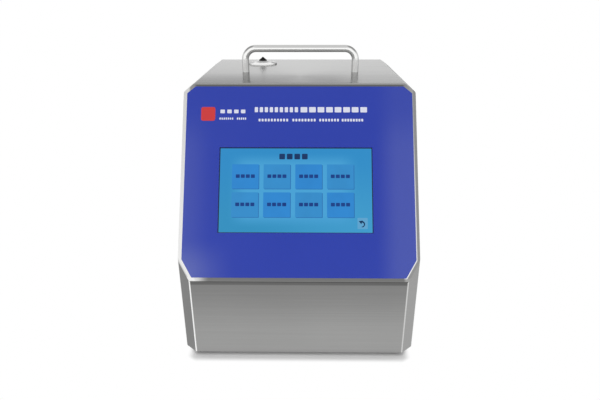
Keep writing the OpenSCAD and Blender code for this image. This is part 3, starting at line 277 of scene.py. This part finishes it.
# Brushed sheet: fine lines along its length, and painted light: a painted reflection tone for each
# panel, with painted highlights and painted shade on the bends and rims.
def brushedSheet():
    look = {
        "lines": 900, "length": 6, "lineDepth": 0.12, "cloud": 9, "cloudDepth": 0.08,
        "rough": 0.26, "spread": 0.16, "smoothTop": 0.12, "tint": (1, 1, 0.99),
        "topFront": 0.17, "topRear": 0.24, "topRight": 0.15,
        "front": 0.32, "frontLow": 0.08, "underKnee": 0.08,
        "slope": 0.45, "topStrip": 0.17, "kneeStrip": 0.15, "paintedGlint": 0.45,
        "rimLeft": 0.43, "rimLeftEdge": 0.25, "rimRight": 0.5, "rimRightEdge": 0.05,
        "side": 0.42, "paintedCrestHighlight": 0.2, "paintedFoldShade": 0.1,
        "paintedBendHighlight": 0.6, "bendLeft": 0.4, "bevel": 0.4, "bevelLeft": 0.1,
        "kneeHeight": 0.091, "cornerSlant": 0.68,
    }
    s = Surface("brushedStainless", {"Metallic": 1, "Anisotropic": 0.4})
    x, y, z = s.axes(s.place)
    nx, ny, nz = s.axes(s.normal)
    thin = look["length"] / look["lines"]
    aside = abs(nx).between(0.75, 0.9)
    lines = s.noise(look["lines"], (thin, 1, 1), 2) * (1 - aside)
    lines = lines + s.noise(look["lines"], (1, thin, 1), 2) * aside
    cloud = s.noise(look["cloud"], detail=4)

    # painted reflection on the top: paler towards the rear, darker towards the front, and paler to
    # the right along the front
    top = nz.between(0.9, 0.98)
    rear = y.between(-0.045, 0.035)
    topPaintedReflection = rear * look["topRear"] + look["topFront"]
    topPaintedReflection = topPaintedReflection + x.between(0.03, 0.07) * (1 - rear) * look["topRight"]

    # painted shade on the low front: a dark reflection tone, paler towards the bottom and darker
    # in a band just under the knee
    front = (-ny).between(0.93, 0.99)
    frontPaintedShade = (look["kneeHeight"] - z).between(0, 0.065) * look["frontLow"] + look["front"]
    frontPaintedShade = frontPaintedShade - z.between(0.0865, 0.088) * look["underKnee"]

    # sloping face round the printed sheet, in painted light: a painted highlight along the left
    # border, a painted highlight line inside the right border, painted shade above and below, and
    # a painted highlight at the left of the knee
    face = abs(ny).band((0.8, 0.84), (0.88, 0.93)) * nz.between(0.3, 0.4)
    slant = (z - look["kneeHeight"]) * look["cornerSlant"]
    left, right = -x - slant, x - slant
    rimPaintedLight = ((-x).between(0.112, 0.116) + left.between(0.1005, 0.1036)).between(0, 1)
    rimPaintedLight = rimPaintedLight * look["rimLeft"]
    rimPaintedLight = rimPaintedLight - left.between(0.1062, 0.1074) * (0.13 - z).between(0, 0.01) * look["rimLeftEdge"]
    inner = (0.1175 - x).between(0, 0.0006) * (0.1052 - right).between(0, 0.0006)
    line = (x.between(0.11, 0.1155) + right.between(0.101, 0.1032)).between(0, 1)
    line = line * (inner * look["rimRight"] - look["rimRightEdge"])
    rimPaintedLight = rimPaintedLight + line * (1 - z.between(0.15, 0.25) * 0.85) * z.between(0.0932, 0.0944)
    paintedGlint = (-x).between(0.088, 0.104)
    knee = (0.095 - z).between(0, 0.0005) * (1 - x.between(0.103, 0.106))
    knee = knee * (look["paintedGlint"] * paintedGlint - look["kneeStrip"])
    paintedStripShade = z.between(0.258, 0.262) * (1 - abs(x).between(0.106, 0.11)) * look["topStrip"]
    slopePaintedLight = look["slope"] + rimPaintedLight - paintedStripShade + knee

    # painted highlights on the bends, paler on the left, and painted reflection tones on the
    # bevels, darker on the left, beside the low front
    ahead = (-y).between(0.135, 0.142)
    low = (look["kneeHeight"] - z).between(-0.002, 0) * ahead
    paintedBendHighlight = abs(nx).band((0.04, 0.12), (0.5, 0.6)) * low
    bevel = abs(nx).band((0.5, 0.6), (0.75, 0.9)) * ahead * (0.12 - z).between(-0.002, 0)
    leftward = (-x).between(-0.01, 0.01)

    # a painted highlight along the top edge above the sloping face, and a line of painted shade
    # along the knee
    paintedCrestHighlight = z.between(0.2635, 0.2645) * nz.between(0.6, 0.75) * look["paintedCrestHighlight"]
    paintedFoldShade = abs(ny).between(0.88, 0.93) * nz.between(0.03, 0.1) * (1 - face) * (1 - paintedGlint)
    tone = top * topPaintedReflection + front * frontPaintedShade + face * slopePaintedLight
    tone = tone + (1 - top - front - face) * (look["side"] + paintedCrestHighlight)
    tone = tone * (1 - paintedBendHighlight - bevel) + paintedBendHighlight * (look["paintedBendHighlight"] + look["bendLeft"] * leftward)
    tone = tone + bevel * (look["bevel"] - look["bevelLeft"] * leftward) - paintedFoldShade * look["paintedFoldShade"]
    tone = tone * (1 - look["lineDepth"] / 2 + look["lineDepth"] * lines)
    tone = tone * (1 - look["cloudDepth"] / 2 + look["cloudDepth"] * cloud)
    s.feed("Base Color", s.blend(tone.between(0, 1), (0, 0, 0), look["tint"]))
    s.feed("Roughness", look["rough"] + look["spread"] * lines - top * look["smoothTop"])
    s.bump(lines, 0.08, 0.00005)
    return s


# A finish with a fine grain and a faint cloud over it
def grained(name, colour, rough, metal=0.0, grain=300, spread=0.12, relief=0.1, more=None):
    s = Surface(name, {"Metallic": metal, **(more or {})})
    spots = s.noise(grain, detail=4)
    cloud = s.noise(25)
    dark = [c * (1 - spread) for c in colour]
    pale = [min(1, c * (1 + spread)) for c in colour]
    s.feed("Base Color", s.blend(0.5 * spots + 0.5 * cloud, dark, pale))
    s.feed("Roughness", rough - 0.06 + 0.12 * cloud)
    s.bump(spots, relief, 0.00008)
    return s


# The printed sheet carries painted highlights: a little paler along its sides and at its low left
# corner.
def printedSheet():
    look = {"colour": (0.008, 0.034, 0.385), "pale": (0.1, 0.13, 0.44),
            "left": 0.3, "right": 0.42, "low": 0.6}
    s = grained("blueSheet", look["colour"], 0.22, 0.0, 700, 0.04, 0.04)
    x, y, z = s.axes(s.place)
    high = z.between(0.2, 0.25)
    paintedSheen = (-x).between(0.085, 0.118) * (1 - high) * look["left"]
    paintedSheen = paintedSheen + x.between(0.075, 0.102) * (1 - high * 0.6) * look["right"]
    paintedSheen = paintedSheen + (-x).between(0.06, 0.112) * (0.13 - z).between(0, 0.03) * look["low"]
    s.feed("Base Color", s.blend(paintedSheen, s.fed("Base Color"), look["pale"]))
    return s


# Turned steel in painted light: painted highlights in the sectors in front and behind and painted
# shade in those beside, where a lathe's rings would catch the light; greyer inside the ring.
def turnedFlange():
    look = {"middle": (-0.049, 0.093), "inner": (0.6, 0.6, 0.6), "dark": (0.1, 0.1, 0.1),
            "pale": (0.93, 0.93, 0.92), "paintedHighlight": 0.9}
    s = grained("turnedSteel", (0.9, 0.9, 0.89), 0.14, 1.0, 60, 0.05, 0.02)
    x, y, z = s.axes(s.place)
    aside, before = abs(x - look["middle"][0]), abs(y - look["middle"][1])
    share = aside / (aside + before + 0.0001)
    outer = (aside * aside + before * before).between(0.00009, 0.00015)
    dark = share.between(0.6, 0.78) * outer
    pale = (1 - share.between(0.5, 0.66)) * outer
    tint = s.blend(dark, s.blend(outer, look["inner"], s.fed("Base Color")), look["dark"])
    s.feed("Base Color", s.blend(pale, tint, look["pale"]))
    # the painted highlights are made less metal, so their pale colour shows
    s.feed("Metallic", 1 - pale * look["paintedHighlight"])
    return s


# Drawn and polished rod in painted light: painted shade on the sides that turn across a fixed view
# from the front above, leaving a pale line along the front and the back, and painted highlights on
# the legs and the underside.
def polishedRod():
    look = {"side": (0.36, 0.36, 0.36), "legs": 0.85, "under": 0.6, "paintedHighlight": 0.9,
            "facing": (0.92, 0.39)}
    s = grained("polishedRod", (0.95, 0.95, 0.94), 0.12, 1.0, 60, 0.03, 0.02)
    x, y, z = s.axes(s.place)
    nx, ny, nz = s.axes(s.normal)
    leg = (0.284 - z).between(0, 0.006)
    under = (-nz).between(-0.1, 0.3)
    # painted shade: darker where the normal turns across a view from the front above
    facing = abs(nz * look["facing"][1] - ny * look["facing"][0])
    side = (1 - facing.between(0.3, 0.75)) * (1 - under * 0.5)
    # painted highlights: the legs and underside are made less metal, so their pale colour shows
    paintedHighlight = (leg * look["legs"] + under * look["under"]).between(0, 1) * look["paintedHighlight"]
    s.feed("Base Color", s.blend(side, s.fed("Base Color"), look["side"]))
    s.feed("Metallic", 1 - paintedHighlight)
    return s


def dressNodes():
    surfaces = {
        "brushed_stainless": brushedSheet(),
        "polished_stainless": grained("polishedStainless", (0.94, 0.94, 0.93), 0.12, 1.0, 60,
                                      0.05, 0.02),
        "blue_sheet": printedSheet(),
        "dark_glass": grained("darkGlass", (0.01, 0.015, 0.04), 0.08, 0.0, 50, 0.02, 0.0),
        "black_plastic": grained("blackPlastic", (0.02, 0.02, 0.021), 0.45, 0.0, 900, 0.2, 0.25),
        "black_rubber": grained("blackRubber", (0.006, 0.006, 0.006), 0.62, 0.0, 600, 0.2, 0.3,
                                {"Specular IOR Level": 0.2}),
        "zinc_steel": grained("zincSteel", (0.52, 0.53, 0.56), 0.3, 1.0, 200, 0.1, 0.06),
        "port_steel": grained("portSteel", (0.62, 0.62, 0.61), 0.25, 1.0, 200, 0.06, 0.04),
        "brass": grained("turnedBrass", (0.76, 0.55, 0.24), 0.25, 1.0, 150, 0.08, 0.05),
        "green_board": grained("greenBoard", (0.02, 0.16, 0.06), 0.35, 0.0, 400, 0.2, 0.1),
        "clear_silicone": grained("siliconeHose", (0.7, 0.7, 0.67), 0.4, 0.0, 90, 0.05, 0.03),
        "white_plastic": grained("whitePlastic", (0.78, 0.78, 0.75), 0.4, 0.0, 500, 0.04, 0.1),
        "blue_wrap": grained("blueWrap", (0.03, 0.12, 0.36), 0.3, 0.0, 80, 0.1, 0.1),
        "black_aluminium": grained("blackAluminium", (0.02, 0.02, 0.022), 0.4, 0.6, 500, 0.2, 0.1),
        "cast_grey": grained("machinedGrey", (0.42, 0.43, 0.45), 0.35, 1.0, 250, 0.1, 0.08),
        "lens_glass": grained("lensGlass", (0.75, 0.85, 0.88), 0.06, 0.0, 20, 0.02, 0.0),
        "fuse_metal": grained("fuseMetal", (0.65, 0.65, 0.64), 0.2, 1.0, 200, 0.05, 0.03),
    }
    dress = {part["node"]: surfaces[part["material_slot"]] for part in frame["record"]["subparts"]}
    dress["inlet_fitting"] = turnedFlange()
    dress["handle"] = polishedRod()
    for name, surface in dress.items():
        nodes[name].data.materials.clear()
        nodes[name].data.materials.append(surface.material)


dressNodes()
print("materials made")


# What lies on the sloping face is made flat, at x and at s up the slope from the knee.
slope = Matrix.Translation(Vector((0, -152, 91)) * mm) @ Matrix.Rotation(
    math.pi / 2 - math.atan2(104, 175), 4, "X")


# A rounded flat plate: its middle, width and height, its two levels and its corners' radius
def plate(shape, x, s, width, height, low, high, radius):
    made = bmesh.ops.create_cube(shape, size=1)["verts"]
    middle = Vector((x, s, (low + high) / 2)) * mm
    bmesh.ops.transform(shape, verts=made, matrix=Matrix.Translation(middle) @ Matrix.Diagonal(
        (width * mm, height * mm, (high - low) * mm, 1)))
    edges = {edge for v in made for edge in v.link_edges}
    upright = [e for e in edges if abs(e.verts[0].co.z - e.verts[1].co.z) > 0.001 * mm]
    bmesh.ops.bevel(shape, geom=upright, offset=min(radius, width / 2.01, height / 2.01) * mm,
                    segments=4, profile=0.5, affect="EDGES", material=-1)


# A row of equal plates
def row(shape, x, s, count, pitch, width, height, low, high, radius):
    for k in range(count):
        plate(shape, x + (k - (count - 1) / 2) * pitch, s, width, height, low, high, radius)


# Part of the lit display: it gives off its own light.
def litGlass(name):
    return Surface(name, {"Base Color": (0, 0, 0, 1), "Roughness": 0.12,
                          "Specular IOR Level": 0.15, "Emission Strength": 1})


def lit(name, low, high, cloud=60):
    s = litGlass(name)
    s.feed("Emission Color", s.blend(s.noise(cloud, detail=2), srgb(*low), srgb(*high)))
    return s


# The display's picture gets paler towards its middle, and greener to the low right.
def litPicture(look):
    s = litGlass("screenBackdrop")
    x, y, z = s.axes(s.place)
    low = s.blend(x.between(-0.06, 0.06), srgb(*look["lower"]), srgb(*look["corner"]))
    height = 0.75 * z.between(0.13, 0.21) + 0.25 * s.noise(30, detail=2)
    tint = s.blend(height.between(0, 1), low, srgb(*look["upper"]))
    glow = (1 - abs(x + 0.006).between(0.045, 0.068)) * (1 - abs(z - 0.169).between(0.02, 0.034))
    s.feed("Emission Color", s.blend(glow, tint, srgb(*look["glow"])))
    return s


# The display: its picture, eight buttons with blocks for their words, a title and the return box
def makeScreen():
    look = {
        "middle": (-3.4, 91.65), "size": (154.1, 85.9), "level": -1.5, "thick": 0.12,
        "columns": (-54.6, -22.5, 9.7, 41.8), "rows": (105.5, 76.6), "button": (27.1, 25.2),
        "shadow": (0.7, -0.6), "buttonThick": 0.06, "shadowThick": 0.03, "inkThick": 0.03,
        "blocks": 4, "blockPitch": 5.1, "block": (4.0, 3.6), "blockRise": 0.3,
        "title": (-5.8, 126.2), "titlePitch": 7.7, "titleBlock": (5.8, 5.8), "titleThick": 0.05,
        "returnBox": (63.8, 58.0), "returnSize": (10.2, 11.2), "arrow": (63.1, 57.1),
        "upper": (47, 139, 198), "lower": (50, 143, 190), "corner": (62, 154, 202),
        "glow": (72, 161, 212),
        "tones": {"Blue": (47, 134, 206), "Teal": (54, 140, 201)}, "toneSpread": 0.04,
        "edge": ((40, 106, 170), (44, 112, 178)), "box": ((88, 158, 202), (100, 168, 208)),
        "label": ((20, 50, 118), (30, 72, 142)), "titleTone": ((20, 44, 84), (28, 62, 112)),
        "inkCloud": 200,
    }
    level = look["level"]
    face = level + look["thick"]
    shape = bmesh.new()
    plate(shape, *look["middle"], *look["size"], level, face, 0.3)
    addMesh("screenImage", shape, litPicture(look), matrix=slope)

    buttons = {"Blue": bmesh.new(), "Teal": bmesh.new()}
    shadows, ink = bmesh.new(), bmesh.new()
    front = face + look["buttonThick"]
    for r, s in enumerate(look["rows"]):
        for c, x in enumerate(look["columns"]):
            plate(shadows, x + look["shadow"][0], s + look["shadow"][1], *look["button"],
                  face, face + look["shadowThick"], 0.6)
            kind = "Teal" if (r + c) % 2 else "Blue"
            plate(buttons[kind], x, s, *look["button"], face, front, 0.6)
            row(ink, x, s + look["blockRise"], look["blocks"], look["blockPitch"], *look["block"],
                front, front + look["inkThick"], 0.5)
    for kind, mesh in buttons.items():
        dark = [c * (1 - look["toneSpread"]) for c in look["tones"][kind]]
        pale = [c * (1 + look["toneSpread"]) for c in look["tones"][kind]]
        addMesh("screenButtons" + kind, mesh, lit("button" + kind, dark, pale), matrix=slope)
    addMesh("screenButtonEdges", shadows, lit("buttonEdge", *look["edge"]), matrix=slope)
    label = lit("labelInk", *look["label"], look["inkCloud"])
    addMesh("screenLabels", ink, label, matrix=slope)

    title = bmesh.new()
    row(title, *look["title"], look["blocks"], look["titlePitch"], *look["titleBlock"],
        face, face + look["titleThick"], 0.8)
    titleInk = lit("titleInk", *look["titleTone"], look["inkCloud"])
    addMesh("screenTitle", title, titleInk, matrix=slope)

    box = bmesh.new()
    plate(box, *look["returnBox"], *look["returnSize"], face, face + look["inkThick"], 0.5)
    addMesh("returnButton", box, lit("returnBox", *look["box"]), matrix=slope)
    makeArrow(look["arrow"], face + look["inkThick"])


# The bent arrow of the return box: an arc that thins from its three-cornered head
def makeArrow(middle, level):
    look = {"radius": 2.6, "wide": 1.7, "thin": 0.55, "head": 2.3, "points": 160,
            "start": 112, "sweep": 205, "steps": 14, "thick": 0.03,
            "tone": ((6, 40, 76), (14, 52, 92)), "cloud": 200}
    centre = Vector((*middle, level))
    across = Matrix.Rotation(math.radians(look["start"]), 4, "Z") @ Vector((1, 0, 0))
    lift = Vector((0, 0, look["thick"]))
    shape = bmesh.new()
    ring = [centre + across * (look["radius"] + i * look["wide"] / 2) + lift * j
            for i, j in ((-1, 0), (1, 0), (1, 1), (-1, 1))]
    face = shape.faces.new([shape.verts.new(p * mm) for p in ring])
    bmesh.ops.spin(shape, geom=[face, *face.verts, *face.edges], cent=centre * mm,
                   axis=(0, 0, -1), angle=math.radians(look["sweep"]), steps=look["steps"])
    for v in shape.verts:
        out = (v.co - centre * mm).xy.to_3d()
        along = math.degrees(across.xy.angle_signed(out.xy)) % 360 / look["sweep"]
        inward = look["radius"] * mm - out.length
        v.co += out.normalized() * inward * look["thin"] * min(along, 1)
    made = bmesh.ops.create_cone(shape, cap_ends=True, segments=3, radius1=look["head"] * mm,
                                 radius2=look["head"] * mm, depth=look["thick"] * mm)["verts"]
    tip = centre + across * look["radius"] + lift / 2
    bmesh.ops.transform(shape, verts=made, matrix=Matrix.Translation(tip * mm)
                        @ Matrix.Rotation(math.radians(look["points"] - 90), 4, "Z"))
    bmesh.ops.recalc_face_normals(shape, faces=shape.faces)
    ink = lit("arrowInk", *look["tone"], look["cloud"])
    addMesh("returnArrow", shape, ink, matrix=slope)


makeScreen()
print("screen made")


# The print on the blue sheet: plain blocks and one plain square
def makePrint():
    look = {
        "low": 0.8, "high": 0.85, "corner": 0.7,
        "square": (-93.8, 170.4), "squareSize": 14.6, "squareCorner": 2.2,
        "white": (0.7, 0.72, 0.85), "red": (0.6, 0.022, 0.024),
        "blocks": (  # from, to, pitch, s, width and height of each row
            (-46.8, -0.5, 5.1, 174.9, 3.4, 5.4), (0.3, 70.4, 8.8, 174.9, 6.9, 5.6),
            (-42.4, -10.9, 3.0, 163.9, 2.0, 2.9), (-7.7, 17.3, 3.0, 163.9, 2.0, 2.9),
            (19.9, 41.1, 3.0, 163.9, 2.0, 2.9), (43.0, 65.8, 3.0, 163.9, 2.0, 2.9),
            (-82.5, -54.3, 7.1, 173.0, 4.6, 3.9), (-82.5, -67.5, 2.1, 165.4, 1.4, 2.4),
            (-64.5, -54.3, 2.1, 165.4, 1.4, 2.4),
        ),
    }
    levels = look["low"], look["high"]
    shape = bmesh.new()
    for start, end, pitch, s, width, height in look["blocks"]:
        count = round((end - start) / pitch)
        row(shape, (start + end) / 2, s, count, (end - start) / count, width, height, *levels,
            look["corner"])
    white = grained("whiteInk", look["white"], 0.35, 0.0, 500, 0.03, 0.02)
    addMesh("whiteBlocks", shape, white, matrix=slope)
    shape = bmesh.new()
    size = look["squareSize"]
    plate(shape, *look["square"], size, size, *levels, look["squareCorner"])
    red = grained("redInk", look["red"], 0.35, 0.0, 500, 0.05, 0.02)
    addMesh("redSquare", shape, red, matrix=slope)


makePrint()
print("print made")


# Cross recesses in the screw heads, drawn as thin dark slabs of painted shade
def makeRecesses():
    look = {"large": 3.6, "small": 2.8, "slot": 0.2, "depth": 0.06,
            "colour": (0.03, 0.03, 0.032)}
    back, under = (0, 1, 0), (0, 0, -1)
    heads = {  # the middles of the heads, the way they face and their size
        "rearSides": ([(x, 138.4, z) for x in (-112.5, 112.5) for z in (35, 135.5, 236)],
                      back, "large"),
        "rearEnds": ([(x, 138.4, z) for x in (-60, 60) for z in (13, 258.5)], back, "large"),
        "fan": ([(x, 139.4, z) for x in (27, 77) for z in (172, 222)], back, "small"),
        "mainsInlet": ([(x, 139.8, 117) for x in (52, 92)], back, "small"),
        "base": ([(x, y, 2.6) for x in (-112.5, 112.5) for y in (-110, -8, 94)], under, "large"),
        "display": ([(x, -103.5, 3.2) for x in (-81.9, 81.9)], under, "small"),
        "filter": ([(x, 93, 3.2) for x in (17.5, 38.5)], under, "small"),
        "pump": ([(x, y, 3.2) for x in (-88, -10) for y in (80, 106)], under, "small"),
        "sensor": ([(x, y, 3.2) for x in (-72, -26) for y in (6, 66)], under, "small"),
        "battery": ([(x, y, 3.2) for x in (57.7, 98.5) for y in (-59.5, 32.1)], under, "small"),
    }
    shape = bmesh.new()
    for places, direction, size in heads.values():
        turn = Vector(direction).to_track_quat("Z", "Y").to_matrix().to_4x4()
        wide = look[size] * mm
        stretch = Matrix.Diagonal((wide, wide * look["slot"], look["depth"] * mm, 1))
        for place in places:
            for angle in (0, math.pi / 2):
                made = bmesh.ops.create_cube(shape, size=1)["verts"]
                bmesh.ops.transform(shape, verts=made, matrix=Matrix.Translation(
                    Vector(place) * mm) @ turn @ Matrix.Rotation(angle, 4, "Z") @ stretch)
    dark = grained("recessShadow", look["colour"], 0.5, 0.8, 300, 0.1, 0.05)
    addMesh("screwRecessShade", shape, dark)


# The rocker's marks: a bar on its upper half and a ring on its lower half
def makeRockerMarks():
    look = {
        "pivot": (24, 136, 117), "rest": -8, "rise": 2.4, "up": 4.3, "run": 8.2,
        "bar": (0.7, 3.4), "ring": (1.2, 1.8), "thick": 0.1, "steps": 32,
        "colour": (0.75, 0.75, 0.75),
    }
    rocker = Matrix.Translation(Vector(look["pivot"]) * mm) @ Matrix.Rotation(
        math.radians(look["rest"]), 4, "X")

    def half(sign):
        place = Vector((0, look["rise"] + look["up"] / look["run"], sign * look["up"])) * mm
        tilt = -sign * math.atan2(1, look["run"])
        return rocker @ Matrix.Translation(place) @ Matrix.Rotation(tilt, 4, "X")

    shape = bmesh.new()
    wide, tall = look["bar"]
    bar = bmesh.ops.create_cube(shape, size=1)["verts"]
    bmesh.ops.transform(shape, verts=bar, matrix=half(1) @ Matrix.Diagonal(
        (wide * mm, look["thick"] * mm, tall * mm, 1)))
    inner, outer = look["ring"]
    thick = look["thick"] / 2
    start = [shape.verts.new(Vector(p) * mm) for p in
             ((inner, -thick, 0), (outer, -thick, 0), (outer, thick, 0), (inner, thick, 0))]
    section = [shape.edges.new((start[k - 1], start[k])) for k in range(4)]
    bmesh.ops.spin(shape, geom=start + section, cent=(0, 0, 0), axis=(0, 1, 0),
                   angle=math.tau, steps=look["steps"], use_merge=True)
    ring = [v for v in shape.verts if v not in bar]
    bmesh.ops.transform(shape, verts=ring, matrix=half(-1))
    bmesh.ops.recalc_face_normals(shape, faces=shape.faces)
    white = grained("markInk", look["colour"], 0.4, 0.0, 400, 0.03, 0.02)
    addMesh("rockerMarks", shape, white, "switch_rocker")


makeRecesses()
makeRockerMarks()
print("marks made")
